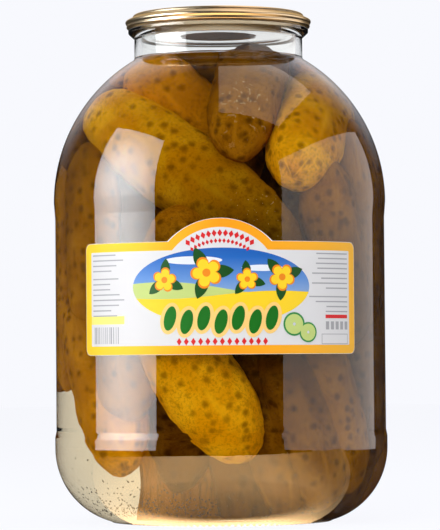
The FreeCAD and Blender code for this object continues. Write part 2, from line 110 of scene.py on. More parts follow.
def blank(name):
    """A material with nothing in it but its output."""
    material = bpy.data.materials.new(name)
    material.use_nodes = True
    material.node_tree.nodes.clear()
    return material


def finish(material, surface, volume=None):
    """Joins a surface, and a volume if there is one, to the material's output."""
    links = {"Surface": surface.outputs[0]}
    if volume:
        links["Volume"] = volume.outputs[0]
    add(material, "ShaderNodeOutputMaterial", None, links)
    return material


def plain(name, colour, roughness, metallic=0.0, **more):
    """A finish that is the same all over."""
    material = blank(name)
    settings = {"Base Color": linear(colour), "Roughness": roughness, "Metallic": metallic}
    settings.update(more)
    return finish(material, add(material, "ShaderNodeBsdfPrincipled", settings))


def see_through(name, colour, index, mirror="#FFFFFF", drink=None):
    """A clear body: it bends what is seen through it, and lets the lamps light what is inside."""
    material = blank(name)
    clear = add(
        material,
        "ShaderNodeBsdfPrincipled",
        {
            "Base Color": linear(colour),
            "Roughness": 0.0,
            "IOR": index,
            "Transmission Weight": 1.0,
            "Specular Tint": linear(mirror),
        },
    )
    through = add(material, "ShaderNodeBsdfTransparent", {"Color": linear(colour)})
    path = add(material, "ShaderNodeLightPath")
    both = add(
        material,
        "ShaderNodeMixShader",
        None,
        {0: path.outputs["Is Shadow Ray"], 1: clear.outputs[0], 2: through.outputs[0]},
    )
    volume = None
    if drink:
        volume = add(material, "ShaderNodeVolumeAbsorption", {"Color": linear(drink[0]), "Density": drink[1]})
    return finish(material, both, volume)


# Soda-lime glass, blown: clear, and hardly tinted even where it is seen edge on.
clear_glass = see_through("blown_soda_lime_glass", "#FBFCFA", 1.5)
# The same glass where brine wets it: the two are nearly alike in index, so the wetted wall hardly mirrors.
wetted_glass = see_through("wetted_soda_lime_glass", "#FFFFFF", 1.5, mirror="#000000")
# Salt and vinegar brine: clear, and yellow-brown through the jar's full depth.
brine_liquid = see_through("cucumber_brine", "#FFFFFF", 1.333, mirror="#000000", drink=("#EBD79A", 10.0))


def pickled_skin(name, flesh, pale, wart):
    """Pickled skin: ochre flesh, soft brown warts a few mm apart, pale ridges, painted shade in dark brown."""
    material = blank(name)
    place = add(material, "ShaderNodeTexCoord").outputs["Object"]
    rind = add(material, "ShaderNodeVertexColor", {"layer_name": "rind"})
    parts = add(material, "ShaderNodeSeparateColor", None, {0: rind.outputs["Color"]})
    wobble = add(material, "ShaderNodeTexNoise", {"Scale": 1 / (4 * MM), "Detail": 2.0}, {"Vector": place})
    moved = add(
        material,
        "ShaderNodeVectorMath",
        {"operation": "MULTIPLY_ADD", 1: (MM, MM, MM)},
        {0: wobble.outputs["Color"], 2: place},
    )
    cells = add(
        material,
        "ShaderNodeTexVoronoi",
        {"feature": "SMOOTH_F1", "Scale": 1 / (5.6 * MM), "Smoothness": 0.1},
        {"Vector": moved.outputs[0]},
    )
    patches = add(material, "ShaderNodeTexNoise", {"Scale": 1 / (15 * MM), "Detail": 4.0}, {"Vector": place})
    grain = add(material, "ShaderNodeTexNoise", {"Scale": 1 / (1.1 * MM), "Detail": 2.0}, {"Vector": place})
    broad = add(
        material,
        "ShaderNodeMapRange",
        {"From Min": 0.38, "From Max": 0.62},
        {"Value": patches.outputs[0]},
    )
    ground = add(
        material,
        "ShaderNodeMix",
        {"data_type": "RGBA", 6: linear(flesh), 7: linear(pale)},
        {0: broad.outputs[0]},
    )
    fine = add(
        material,
        "ShaderNodeMapRange",
        {"From Min": 0.48, "From Max": 0.68, "To Min": 0.0, "To Max": 0.42},
        {"Value": grain.outputs[0]},
    )
    netted = add(
        material,
        "ShaderNodeMix",
        {"data_type": "RGBA", 7: linear(wart)},
        {0: fine.outputs[0], 6: ground.outputs[2]},
    )
    spot = add(
        material,
        "ShaderNodeMapRange",
        {"interpolation_type": "SMOOTHSTEP", "From Min": 0.1, "From Max": 0.46, "To Min": 0.75, "To Max": 0.0},
        {"Value": cells.outputs["Distance"]},
    )
    warty = add(
        material,
        "ShaderNodeMix",
        {"data_type": "RGBA", 7: linear(wart)},
        {0: spot.outputs[0], 6: netted.outputs[2]},
    )
    streaked = add(
        material,
        "ShaderNodeMix",
        {"data_type": "RGBA", 7: linear(pale)},
        {0: parts.outputs[0], 6: warty.outputs[2]},
    )
    # Painted shade: the skin is darkened towards dark brown where the vertex colour's painted light is low.
    shade = add(
        material,
        "ShaderNodeMix",
        {"data_type": "RGBA", 6: linear("#2E1A00"), 7: (1.0, 1.0, 1.0, 1.0)},
        {0: parts.outputs[1]},
    )
    toned = add(
        material,
        "ShaderNodeMix",
        {"data_type": "RGBA", "blend_type": "MULTIPLY", 0: 1.0},
        {6: streaked.outputs[2], 7: shade.outputs[2]},
    )
    bump = add(
        material,
        "ShaderNodeBump",
        {"Strength": 0.6, "Distance": 0.4 * MM},
        {"Height": spot.outputs[0]},
    )
    shader = add(
        material,
        "ShaderNodeBsdfPrincipled",
        {"Roughness": 0.6, "Specular IOR Level": 0.0},
        {"Base Color": toned.outputs[2], "Normal": bump.outputs[0]},
    )
    return finish(material, shader)


# Copies of one skin: the bright one is partly painted light, the brown one partly painted shade.
SKINS = {
    "bright": pickled_skin("bright_pickled_skin", "#E89E00", "#FFBE14", "#946000"),
    "ochre": pickled_skin("ochre_pickled_skin", "#D48B00", "#F2A60A", "#845200"),
    "brown": pickled_skin("brown_pickled_skin", "#985F00", "#C08212", "#5A3500"),
}

# Tinplate, gold-lacquered and pressed: bright metal under clear yellow varnish.
gold_tinplate = plain("gold_lacquered_tinplate", "#D2C0A2", 0.3, 1.0, **{"Specular Tint": linear("#D8B47C")})
# Coated label paper, offset-printed: flat colour with a slight sheen.
white_paper = plain("coated_label_paper", "#EDEDED", 0.45)


# ---------------------------------------------------------------- modelling helpers
def nothing_selected():
    """Leaves edit mode and deselects everything."""
    if bpy.context.object and bpy.context.object.mode != "OBJECT":
        bpy.ops.object.mode_set(mode="OBJECT")
    bpy.ops.object.select_all(action="DESELECT")


def coat(piece, material):
    """Gives a piece one material, in the mesh's only slot."""
    piece.data.materials.clear()
    piece.data.materials.append(material)


def settle(piece, name):
    """Puts a piece's place into its mesh, names it and lets it stand with the jar."""
    nothing_selected()
    piece.select_set(True)
    bpy.context.view_layer.objects.active = piece
    bpy.ops.object.transform_apply(location=True, rotation=True, scale=True)
    piece.name = name
    piece.data.name = name
    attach(piece, "root")
    return piece


def arc(across, up, radius, start, end, count):
    """Points on a round of a profile, between two angles in degrees counted from outwards to up."""
    points = []
    for i in range(count + 1):
        angle = math.radians(start + (end - start) * i / count)
        points.append((across + radius * math.cos(angle), up + radius * math.sin(angle)))
    return points


def eased(corners, count=4):
    """A profile with each corner (across, up, round) replaced by its round."""
    points = []
    for i, (x, z, r) in enumerate(corners):
        if not r or i in (0, len(corners) - 1):
            points.append((x, z))
            continue
        here = Vector((x, z))
        back = (Vector(corners[i - 1][:2]) - here).normalized()
        ahead = (Vector(corners[i + 1][:2]) - here).normalized()
        half = back.angle(ahead) / 2
        middle = here + (back + ahead).normalized() * (r / math.sin(half))
        start = here + back * (r / math.tan(half)) - middle
        end = here + ahead * (r / math.tan(half)) - middle
        turn = start.angle_signed(end)
        for k in range(count + 1):
            a = -turn * k / count
            points.append(
                (
                    middle.x + start.x * math.cos(a) - start.y * math.sin(a),
                    middle.y + start.x * math.sin(a) + start.y * math.cos(a),
                )
            )
    return points


def turned(name, line, steps):
    """Extrudes a line of (across, up) points from one vertex and spins it round the jar's axis."""
    nothing_selected()
    bpy.ops.mesh.primitive_plane_add(size=MM)
    piece = bpy.context.object
    bpy.ops.object.mode_set(mode="EDIT")
    bpy.ops.mesh.select_all(action="SELECT")
    bpy.ops.mesh.merge(type="CENTER")
    here = (0.0, 0.0)
    for i, (x, z) in enumerate(line):
        step = ((x - here[0]) * MM, 0, (z - here[1]) * MM)
        if i == 0:
            bpy.ops.transform.translate(value=step)
        else:
            bpy.ops.mesh.extrude_region_move(TRANSFORM_OT_translate={"value": step})
        here = (x, z)
    bpy.ops.mesh.select_all(action="SELECT")
    bpy.ops.mesh.spin(steps=steps, angle=math.tau, center=(0, 0, 0), axis=(0, 0, 1))
    bpy.ops.mesh.select_all(action="SELECT")
    bpy.ops.mesh.remove_doubles(threshold=0.004 * MM)
    bpy.ops.mesh.normals_make_consistent(inside=False)
    bpy.ops.object.mode_set(mode="OBJECT")
    return settle(piece, name)


def smooth(piece, degrees):
    """Shades a piece smooth up to a crease angle."""
    nothing_selected()
    piece.select_set(True)
    bpy.context.view_layer.objects.active = piece
    bpy.ops.object.shade_smooth_by_angle(angle=math.radians(degrees))


# ---------------------------------------------------------------- the glass jar
def dome(reach, low, rise, count):
    """Points up a shallow dome from its edge to the axis."""
    radius = (reach**2 + rise**2) / (2 * rise)
    points = []
    for i in range(count + 1):
        x = reach * (1 - i / count)
        points.append((x, low + rise - radius + math.sqrt(radius**2 - x**2)))
    return points


def shoulder(shell, stem, round_, count):
    """Points up the shoulder's sphere and through the hollow round into the upright neck wall."""
    centre_x = stem + round_
    centre_z = SPRING + math.sqrt((shell + round_) ** 2 - centre_x**2)
    leave = math.degrees(math.atan2(centre_z - SPRING, centre_x))
    hollow = arc(centre_x, centre_z, round_, leave + 180, 180, 6)
    return arc(0, SPRING, shell, 0, leave, count) + hollow[1:]


def outer_profile():
    """The outside from the middle of the foot up to the throat: (across, up) points in mm."""
    start = math.degrees(math.asin((RING - HEEL_TOP) / HEEL))
    points = dome(RING_IN, RING, PUSH_UP, 8)[::-1]
    points += [(RING_IN + 0.7, RING), (RING_OUT - 0.7, RING)]
    points += arc(HEEL_AXIS, HEEL_TOP, HEEL, start, 0, 20)
    points += eased(
        [
            (BODY, HEEL_TOP + 1, 0),
            (BODY, PANEL_LOW - 2.4, STEP_ROUND),
            (BODY - RECESS, PANEL_LOW + 0.6, STEP_ROUND),
            (BODY - RECESS, PANEL_HIGH - 6, FADE_ROUND),
            (BODY, SPRING - 0.1, 0),
        ],
        8,
    )
    points += shoulder(BODY, NECK, NECK_ROUND, 30)
    points += eased(
        [
            (NECK, 220.0, 0),
            (NECK, 224.2, 0.8),
            (NECK + TRANSFER_BEAD, 226.8, 0.6),
            (NECK + TRANSFER_BEAD, 228.2, 0.2),
            (NECK + GROOVE, 228.5, 0.1),
            (NECK + GROOVE, 229.8, 0.1),
            (NECK + SEALING_BEAD, 230.6, 0.3),
            (NECK + SEALING_BEAD, RIM - 1.1, 0.6),
            (NECK + 1.1, RIM, 0.4),
            (MOUTH, RIM, 0.8),
            (MOUTH, RIM - 4, 0),
        ]
    )
    return points


def inner_profile(grow=0.0):
    """The inside wall from the throat down to the middle of the floor; grow moves it into the glass."""
    shell = INSIDE + grow
    points = shoulder(shell, MOUTH + grow, MOUTH_ROUND - grow, 30)[::-1]
    points += [(shell, SPRING - 20), (shell, HEEL_TOP + 20)]
    inner_heel = HEEL - WALL + grow
    floor = FLOOR - grow
    end = math.degrees(math.asin((floor + 1.2 - HEEL_TOP) / inner_heel))
    points += arc(HEEL_AXIS, HEEL_TOP, inner_heel, 0, end, 20)
    edge = points[-1][0] - 4.0
    points += [(edge + 1.2, floor + 0.25)]
    points += dome(edge, floor, PUSH_UP, 10)
    return points


jar = turned("jar_glass", outer_profile() + inner_profile(), KNURLS * STEPS_PER_KNURL)
# Half of each knurl's steps come down to the table, so that the jar stands on short bars of glass.
for vertex in jar.data.vertices:
    across = math.hypot(vertex.co.x, vertex.co.y) / MM
    if abs(vertex.co.z / MM - RING) < 0.05 and RING_IN + 0.5 < across < RING_OUT - 0.5:
        step = round(math.atan2(vertex.co.y, vertex.co.x) / math.tau * KNURLS * STEPS_PER_KNURL)
        if step % STEPS_PER_KNURL < STEPS_PER_KNURL / 2:
            vertex.co.z = 0.0
smooth(jar, 35)
coat(jar, clear_glass)
jar.data.materials.append(wetted_glass)
for face in jar.data.polygons:
    outwards = Vector((face.center.x, face.center.y, 0)).normalized()
    low_down = face.center.z < 0.02 and outwards.dot(face.center) < (INSIDE - 1) * MM
    floor_inside = face.normal.z > 0.3 and low_down
    if face.center.z < LEVEL * MM and (face.normal.dot(outwards) < -0.2 or floor_inside):
        face.material_index = 1
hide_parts("jar")

# ---------------------------------------------------------------- the brine
# The walls start where the inside of the glass crosses the surface.
walls = inner_profile(INTO_WALL)
while walls[1][1] > LEVEL:
    walls.pop(0)
(over_x, over_z), (under_x, under_z) = walls[:2]
walls[0] = (over_x + (under_x - over_x) * (over_z - LEVEL) / (over_z - under_z), LEVEL)
surface = [(0.0, LEVEL - DIP), (MOUTH - CLIMB, LEVEL - DIP), (MOUTH - 0.4 * CLIMB, LEVEL - 0.7 * DIP)]
brine = turned("brine_liquid", surface + walls, 192)
smooth(brine, 40)
coat(brine, brine_liquid)
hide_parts("brine")


# ---------------------------------------------------------------- the cucumbers
FINE_MESH = (88, 76)  # faces round and along a cucumber that can be seen from the front
COARSE_MESH = (48, 40)  # and one that lies behind others
BLUNTNESS = 3.2  # 2 would make it an egg, more makes it a blunter rod


def cucumber(name, top, bottom, thick, bow, skin, tones, seed, fine=True):
    """A blunt, three-sided, slightly bowed cucumber between the middles of its two round ends."""
    chance = random.Random(seed)
    top, bottom = Vector(top) * MM, Vector(bottom) * MM
    radius = thick * MM / 2
    length = (top - bottom).length + 2 * radius
    nothing_selected()
    around, rings = FINE_MESH if fine else COARSE_MESH
    bpy.ops.mesh.primitive_uv_sphere_add(segments=around, ring_count=rings, radius=1)
    piece = bpy.context.object
    phase = chance.uniform(0, math.tau)
    swell = chance.uniform(-0.06, 0.06)
    rind = piece.data.color_attributes.new("rind", "FLOAT_COLOR", "POINT")
    for vertex in piece.data.vertices:
        along = max(-1.0, min(1.0, vertex.co.z))
        angle = math.atan2(vertex.co.y, vertex.co.x)
        streak = max(0.0, math.cos(5 * angle + phase + 0.5 * along)) ** 18
        streak *= 0.5 + 0.5 * math.sin(9 * along + 3 * phase)
        # Painted light and shade: how light each end is meant to look, run along the cucumber.
        tone = tones[1] + (tones[0] - tones[1]) * (0.5 + 0.5 * along)
        rind.data[vertex.index].color = (0.85 * streak, tone, 0.0, 1.0)
        girth = (1 - abs(along) ** BLUNTNESS) ** 0.5 * (1 + swell * along)
        girth *= 1 + 0.03 * math.cos(3 * angle + phase) + 0.02 * math.cos(5 * along + phase)
        vertex.co.x = radius * girth * math.cos(angle)
        vertex.co.y = radius * girth * math.sin(angle) - bow * MM * (1 - along**2)
        vertex.co.z = along * length / 2
    axis = (top - bottom).normalized()
    forward = (Vector((0, 1, 0)) - axis * axis.y).normalized()
    side = forward.cross(axis)
    turn = Matrix((side, forward, axis)).transposed()
    piece.matrix_world = Matrix.Translation((top + bottom) / 2) @ turn.to_4x4()
    settle(piece, name)
    for kind, grain, strength in (("lumps", 13, 1.8), ("warts", 4.2, 1.2)):
        texture = bpy.data.textures.new(f"{name}_{kind}", "CLOUDS")
        texture.noise_scale = grain * MM
        texture.noise_depth = 1
        rough = piece.modifiers.new(kind, "DISPLACE")
        rough.texture = texture
        rough.texture_coords = "GLOBAL"
        rough.strength = strength * MM
        rough.mid_level = 0.5
        bpy.ops.object.modifier_apply(modifier=rough.name)
    smooth(piece, 60)
    coat(piece, SKINS[skin])
    return piece


PACKED = [
    # name, middle of one end, middle of the other, thickness and bow in mm; skin, painted light at each end
    ("front_upper", (-41.5, -19, 179.5), (20.5, -51.5, 131), 34, 3.0, "bright", (1.0, 0.08)),
    ("back_upper", (-25, -14, 195.5), (4, -10, 158), 31, 2.0, "ochre", (0.95, 0.6)),
    ("right_upper", (33, -42, 163.5), (39.5, -5, 187), 31.5, 1.0, "bright", (1.0, 0.45)),
    ("right_shoulder", (51.5, -14, 167), (56.5, -14, 98), 28.5, 1.0, "brown", (0.6, 0.3)),
    ("right_middle", (44, -36.5, 151), (52, -25, 96), 29, 1.0, "brown", (0.65, 0.2)),
    ("left_shoulder", (-51.5, -5, 167), (-44, 20, 152), 27, 1.0, "brown", (0.4, 0.3)),
    ("left_tall", (-56.5, -4, 154), (-59, -5, 74), 27, 1.0, "ochre", (0.4, 0.8)),
    ("left_front", (-51.5, -21.5, 158), (-52, -25, 104), 28.5, 1.0, "ochre", (0.25, 0.7)),
    ("left_low", (-53.5, -16, 88), (-42, -34, 40), 32, 2.0, "ochre", (0.6, 1.0)),
    ("strip_low", (-37, -44.5, 98), (-39, -42.5, 60), 29, 1.0, "ochre", (0.35, 0.55)),
    ("front_low", (-26, -48, 92), (2.5, -53, 45.5), 36, 2.0, "bright", (0.85, 1.0)),
    ("low_inner", (14, -38, 80), (25, -38, 25), 29, 1.0, "brown", (0.15, 0.7)),
    ("low_right", (26, -49, 72), (40, -36, 24.5), 29, 1.0, "brown", (0.15, 0.8)),
    ("low_far_right", (38, -42.5, 84), (50.5, -28, 32), 29, 1.5, "brown", (0.3, 0.8)),
    ("right_low", (55, -10, 84), (56, -8, 42), 29, 1.0, "brown", (0.3, 0.4)),
    ("front_middle", (-17, -51, 129), (-24, -49, 98), 30, 1.0, "brown", (0.8, 0.4)),
    ("front_inner", (4, -40, 122), (30, -42, 112), 28, 1.0, "brown", (0.3, 0.3)),
    ("inner_left", (-28, -16, 150), (-26, -18, 78), 31, 1.0, "brown", (0.3, 0.3)),
    ("inner_low_left", (-20, -12, 86), (-14, 2, 40), 31, 1.0, "brown", (0.3, 0.6)),
    ("inner_low", (6, -14, 84), (8, 4, 34), 31, 1.0, "brown", (0.3, 0.8)),
    ("inner_right", (24, -12, 150), (30, -8, 72), 31, 1.0, "brown", (0.3, 0.3)),
    ("inner_top", (-2, 12, 176), (8, 16, 112), 31, 1.0, "brown", (0.4, 0.3)),
    ("inner_back", (-8, 24, 116), (2, 28, 44), 31, 1.0, "brown", (0.3, 0.4)),
    ("top_left_back", (-20, 14, 188), (-28, 28, 146), 29, 1.0, "brown", (0.5, 0.4)),
    ("top_middle_back", (-14, 14, 201), (14, 20, 199), 28, 1.0, "brown", (0.8, 0.8)),
    ("top_right_back", (32, 20, 188), (47, 31, 140), 30, 1.0, "brown", (0.6, 0.4)),
    ("back_left", (-36, 40, 140), (-38, 43, 84), 30, 1.0, "ochre", (0.6, 0.6)),
    ("back_middle_left", (-10, 56, 158), (-8, 57, 80), 30, 1.0, "ochre", (0.6, 0.6)),
    ("back_middle_right", (20, 53, 160), (22, 52, 84), 30, 1.0, "ochre", (0.6, 0.6)),
    ("back_right", (46, 35, 118), (44, 34, 40), 30, 1.0, "ochre", (0.6, 0.6)),
    ("side_left", (-56, 13, 134), (-57, 13, 74), 28, 1.0, "ochre", (0.6, 0.6)),
    ("side_right", (57, 12, 150), (57, 14, 78), 29, 1.0, "brown", (0.6, 0.6)),
    ("back_low_left", (-14, 50, 74), (-10, 44, 32), 30, 1.0, "ochre", (0.6, 0.9)),
    ("back_low_right", (16, 50, 76), (20, 44, 32), 30, 1.0, "ochre", (0.6, 0.9)),
    ("left_top_back", (-36, 6, 186), (-50, 12, 163), 27, 1.0, "brown", (0.7, 0.5)),
    ("rim_left", (-33, 2, 199), (-16, 26, 200), 24, 1.0, "ochre", (0.8, 0.8)),
    ("rim_right", (34, 0, 197), (22, 26, 199), 24, 1.0, "ochre", (0.7, 0.7)),
    ("low_right_back", (44, 8, 84), (42, 6, 32), 30, 1.0, "brown", (0.3, 0.4)),
]
for number, (name, top, bottom, *look) in enumerate(PACKED):
    cucumber(f"cucumber_{name}", top, bottom, *look, number + 3, fine=min(top[1], bottom[1]) < 0)

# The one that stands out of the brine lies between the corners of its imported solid.
stand_low, stand_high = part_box("gherkin")
STAND = 14.5 * MM  # half its thickness
upper_end = Vector((stand_high.x - 0.9 * STAND, stand_high.y - 1.01 * STAND, stand_high.z - 0.9 * STAND)) / MM
lower_end = Vector((stand_low.x + 0.76 * STAND, stand_low.y + 0.87 * STAND, stand_low.z + 1.01 * STAND)) / MM
standing = cucumber("cucumber_standing", upper_end, lower_end, 2 * STAND / MM, 2.0, "brown", (0.2, 0.85), 40)
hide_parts("gherkin")


# ---------------------------------------------------------------- seeds and herbs in the brine
def spindle(start, end, girth):
    """A pointed five-sided grain between two places, as corners and faces."""
    start, end = Vector(start), Vector(end)
    axis = (end - start).normalized()
    side = axis.orthogonal().normalized()
    other = axis.cross(side)
    middle = (start + end) / 2
    corners = [start, end]
    for i in range(5):
        a = math.tau * i / 5
        corners.append(middle + (side * math.cos(a) + other * math.sin(a)) * girth / 2)
    faces = []
    for i in range(5):
        here, ahead = 2 + i, 2 + (i + 1) % 5
        faces += [(0, ahead, here), (1, here, ahead)]
    return corners, faces


def grains(name, places, material):
    """Many grains as one piece: places are (start, end, girth) in mm."""
    corners, faces = [], []
    for start, end, girth in places:
        more, sides = spindle(start, end, girth)
        faces += [tuple(i + len(corners) for i in side) for side in sides]
        corners += more
    mesh = bpy.data.meshes.new(name)
    mesh.from_pydata([tuple(c * MM) for c in corners], [], faces)
    piece = bpy.data.objects.new(name, mesh)
    bpy.context.scene.collection.objects.link(piece)
    coat(piece, material)
    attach(piece, "root")
    return piece


def on_heel(azimuth, dip, inside):
    """A place just inside the rounded heel: azimuth from straight in front, dip below the horizontal."""
    a, d = math.radians(azimuth), math.radians(dip)
    reach = HEEL_AXIS + (HEEL - WALL - inside) * math.cos(d)
    height = HEEL_TOP - (HEEL - WALL - inside) * math.sin(d)
    return Vector((reach * math.sin(a), -reach * math.cos(a), height))


# Dill and seed, steeped for months: dull brown-black crumbs, paler where only the stalk is left.
dark_herb = plain("pickled_dill_and_seed", "#3A2A10", 0.7)
pale_herb = plain("pale_dill_stalk", "#D9C48A", 0.6)
chance = random.Random(21)
settled = []  # crumbs lying on the heel, most of them to the left of the front
for i in range(480):
    azimuth = chance.gauss(-38, 22) if i % 3 else chance.uniform(-70, 62)
    dip = 62 - abs(chance.gauss(0, 17))
    start = on_heel(azimuth, dip, chance.uniform(0.3, 1.2))
    step = Vector([chance.gauss(0, 1) for _ in range(3)]).normalized() * chance.uniform(0.5, 2.0)
    settled.append((start, start + step, chance.uniform(0.45, 0.85)))
grains("settled_herbs", settled, dark_herb)
threads = []  # a tuft of dill afloat against the shoulder
for i in range(40):
    here = Vector((chance.gauss(11, 4.4), -58.5, chance.gauss(187, 6.5)))
    shell = Vector((here.x, here.y, here.z - SPRING))
    here = shell.normalized() * (INSIDE - 1.2) + Vector((0, 0, SPRING))
    for _ in range(3):
        ahead = here + Vector((chance.gauss(0, 0.7), chance.gauss(0, 0.2), chance.gauss(0, 0.7)))
        threads.append((here, ahead, 0.2))
        here = ahead
for i in range(150):  # fine sediment on the wall
    here = Vector((chance.gauss(19, 8), -58.5, chance.gauss(150, 12)))
    across = math.hypot(here.x, here.y)
    here = Vector((here.x / across, here.y / across, 0)) * (INSIDE - 0.5) + Vector((0, 0, here.z))
    if here.z < SPRING:
        threads.append((here, here + Vector((0.2, 0, 0.25)), 0.25))
grains("floating_dill", threads, pale_herb)
scar = []
root = lower_end + Vector((-3.0, -13.0, -5.6))
for i in range(22):  # what is left of the flower on the tip of the standing cucumber
    angle = chance.uniform(0, math.tau)
    out = Vector((math.cos(angle), -0.3, math.sin(angle)))
    scar.append((root + out * chance.uniform(0, 0.6), root + out * chance.uniform(0.9, 2.0), 0.5))
grains("blossom_scar", scar, plain("dried_blossom", "#B07A18", 0.8))

# ---------------------------------------------------------------- the lid
TIN = 0.25  # thickness of the plate
BUTTON = 17.5  # radius of the raised middle
PLATE_TOP = lid_high.z / MM - TIN
LID_LINE = [
    # across, up, round: raised middle, flat ring, countersunk ring, wall up to the rim
    (0.0, 226.4, 0),
    (BUTTON, 226.4, 0.8),
    (BUTTON + 1.1, 225.8, 0.8),
    (30.9, 225.8, 0.8),
    (32.0, 224.8, 0.8),
    (35.0, 224.8, 0.9),
    (36.1, PLATE_TOP, 0.9),
    # over the rim, down the skirt, and rolled in under the sealing bead
    (39.4, PLATE_TOP, 0.7),
    (39.75, 233.75, 0.3),
    (43.35, 232.0, 0.7),
    (42.25, 230.5, 0.6),
    (42.65, 229.4, 0.5),
    (40.75, 228.75, 0),
]
lid = turned("lid_tinplate", eased(LID_LINE), 224)
skin_of_lid = lid.modifiers.new("tinplate", "SOLIDIFY")
skin_of_lid.thickness = TIN * MM
skin_of_lid.offset = 1.0
nothing_selected()
lid.select_set(True)
bpy.context.view_layer.objects.active = lid
bpy.ops.object.modifier_apply(modifier=skin_of_lid.name)
smooth(lid, 50)
coat(lid, gold_tinplate)
# Under the lid: bare tin round a pressed middle that is coloured dark brown.
lid.data.materials.append(plain("bare_tinplate", "#F1F1EF", 0.16, 1.0))
lid.data.materials.append(plain("stained_tinplate", "#7A5A40", 0.7))
for face in lid.data.polygons:
    across = math.hypot(face.center.x, face.center.y) / MM
    if face.normal.z < -0.3 and across < MOUTH:
        face.material_index = 2 if across < BUTTON + 0.3 else 1
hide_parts("lid")

# ---------------------------------------------------------------- the label and its print
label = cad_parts["label"]
coat(label, white_paper)
LABEL_BASE = label_low.z / MM
LABEL_TOP = 50.0  # straight upper edge above the lower edge
LABEL_HALF = LABEL_FACE * math.asin(label_high.x / MM / LABEL_FACE)  # half the label's length round the jar
ARCH_HALF = 23.2
ARCH_TOP = PAPER - LABEL_BASE
BORDER = 4.0
INK = 0.02  # each field of print lies this much over the one below

print_fields = []


INK_GLOSS = {"Roughness": 0.42, "Specular IOR Level": 0.25}


def ink(name, colour):
    """Offset-printed ink under clear varnish: flat colour, slightly glossy."""
    return plain(name, colour, INK_GLOSS["Roughness"], **INK_GLOSS)


def ramped_ink(name, axis, low, high, stops):
    """Printed ink whose colour runs from one side of the jar to the other, or from bottom to top."""
    material = blank(name)
    place = add(material, "ShaderNodeTexCoord").outputs["Object"]
    parts = add(material, "ShaderNodeSeparateXYZ", None, {0: place})
    share = add(
        material,
        "ShaderNodeMapRange",
        {"From Min": low * MM, "From Max": high * MM},
        {"Value": parts.outputs[axis]},
    )
    ramp = add(material, "ShaderNodeValToRGB", None, {0: share.outputs[0]})
    while len(ramp.color_ramp.elements) < len(stops):
        ramp.color_ramp.elements.new(0.5)
    for element, (at, colour) in zip(ramp.color_ramp.elements, stops):
        element.position = at
        element.color = linear(colour)
    shader = add(material, "ShaderNodeBsdfPrincipled", INK_GLOSS, {"Base Color": ramp.outputs[0]})
    return finish(material, shader)


def patch(points, layer, material, shift=(0.0, 0.0), turn=0.0, grow=1.0):
    """A flat field of print from its outline, in mm along the label and above its lower edge."""
    nothing_selected()
    bpy.ops.mesh.primitive_circle_add(vertices=len(points), radius=1, fill_type="NGON")
    piece = bpy.context.object
    c, s = math.cos(math.radians(turn)) * grow, math.sin(math.radians(turn)) * grow
    for vertex, (x, z) in zip(piece.data.vertices, points):
        vertex.co = (shift[0] + x * c - z * s, -layer, shift[1] + x * s + z * c)
    piece.data.materials.append(material)
    print_fields.append(piece)


def oval(wide, tall, count=48):
    """The outline of an oval round its own middle."""
    turns = [math.tau * i / count for i in range(count)]
    return [(wide / 2 * math.cos(a), tall / 2 * math.sin(a)) for a in turns]


def bar(wide, tall):
    """The outline of a bar round its own middle."""
    return [(-wide / 2, -tall / 2), (wide / 2, -tall / 2), (wide / 2, tall / 2), (-wide / 2, tall / 2)]


def leaf(length, wide, count=10):
    """A pointed leaf lying along the label from its stalk."""
    under = [(length * i / count, -wide / 2 * math.sin(math.pi * i / count) ** 0.8) for i in range(count)]
    over = [(length * i / count, wide / 2 * math.sin(math.pi * i / count) ** 0.8) for i in range(count, 0, -1)]
    return under + over


def blossom(radius, petals=5, count=60):
    """A five-petalled cucumber flower."""
    points = []
    for i in range(count):
        a = math.tau * i / count
        r = radius * (0.62 + 0.38 * abs(math.cos(petals * a / 2)) ** 0.7)
        points.append((r * math.cos(a), r * math.sin(a)))
    return points


def label_outline(inset, corner):
    """The label's outline: a rounded strip with an arch on its upper edge, drawn in by inset."""
    right, low, top = LABEL_HALF - inset, inset, LABEL_TOP - inset
    rise = ARCH_TOP - LABEL_TOP
    radius = (ARCH_HALF**2 + rise**2) / (2 * rise)
    middle = ARCH_TOP - radius
    radius -= inset
    half = math.sqrt(radius**2 - (top - middle) ** 2)
    points = arc(right - corner, low + corner, corner, -90, 0, 5)
    points += arc(right - corner, top - corner, corner, 0, 90, 5)
    open_ = math.degrees(math.atan2(top - middle, half))
    points += arc(0, middle, radius, open_, 180 - open_, 28)
    points += arc(-right + corner, top - corner, corner, 90, 180, 5)
    points += arc(-right + corner, low + corner, corner, 180, 270, 5)
    return points


border_ink = ramped_ink(
    "yellow_to_orange_ink", 0, -62, 62, [(0.0, "#FFD400"), (0.2, "#FFC800"), (0.5, "#FFA000"), (1.0, "#FFBC22")]
)
white_ink = ink("white_varnished_paper", "#E2E1E2")
sky_ink = ramped_ink(
    "sky_blue_ink",
    2,
    LABEL_BASE + 22,
    LABEL_BASE + 48,
    [(0.0, "#9DB7DC"), (0.45, "#5C8FD3"), (0.8, "#1465BE"), (1.0, "#0A5AB4")],
)
pale_ink = ink("cloud_white_ink", "#E9EEF6")
hill_ink = ink("hill_green_ink", "#C3D57C")
field_ink = ink("field_yellow_ink", "#FFD61E")
peach_ink = ink("peach_ink", "#FFD27A")
green_ink = ink("bottle_green_ink", "#006A12")
leaf_ink = ink("leaf_green_ink", "#0B4A17")
red_ink = ink("red_ink", "#D8141C")
orange_ink = ink("orange_ink", "#F28A0C")
grey_ink = ink("small_print_grey_ink", "#A8A8AC")
lemon_ink = ink("lemon_ink", "#FFEE78")
rind_ink = ink("rind_green_ink", "#2E8B45")

patch(label_outline(0.15, 2.9), 1, border_ink)
patch(label_outline(BORDER, 0.5), 2, white_ink)

# An oval picture: sky over a hill and a yellow field, with a vine of blossoms.
OVAL = (0.5, 30.0)
patch(oval(82, 34, 72), 3, sky_ink, OVAL)


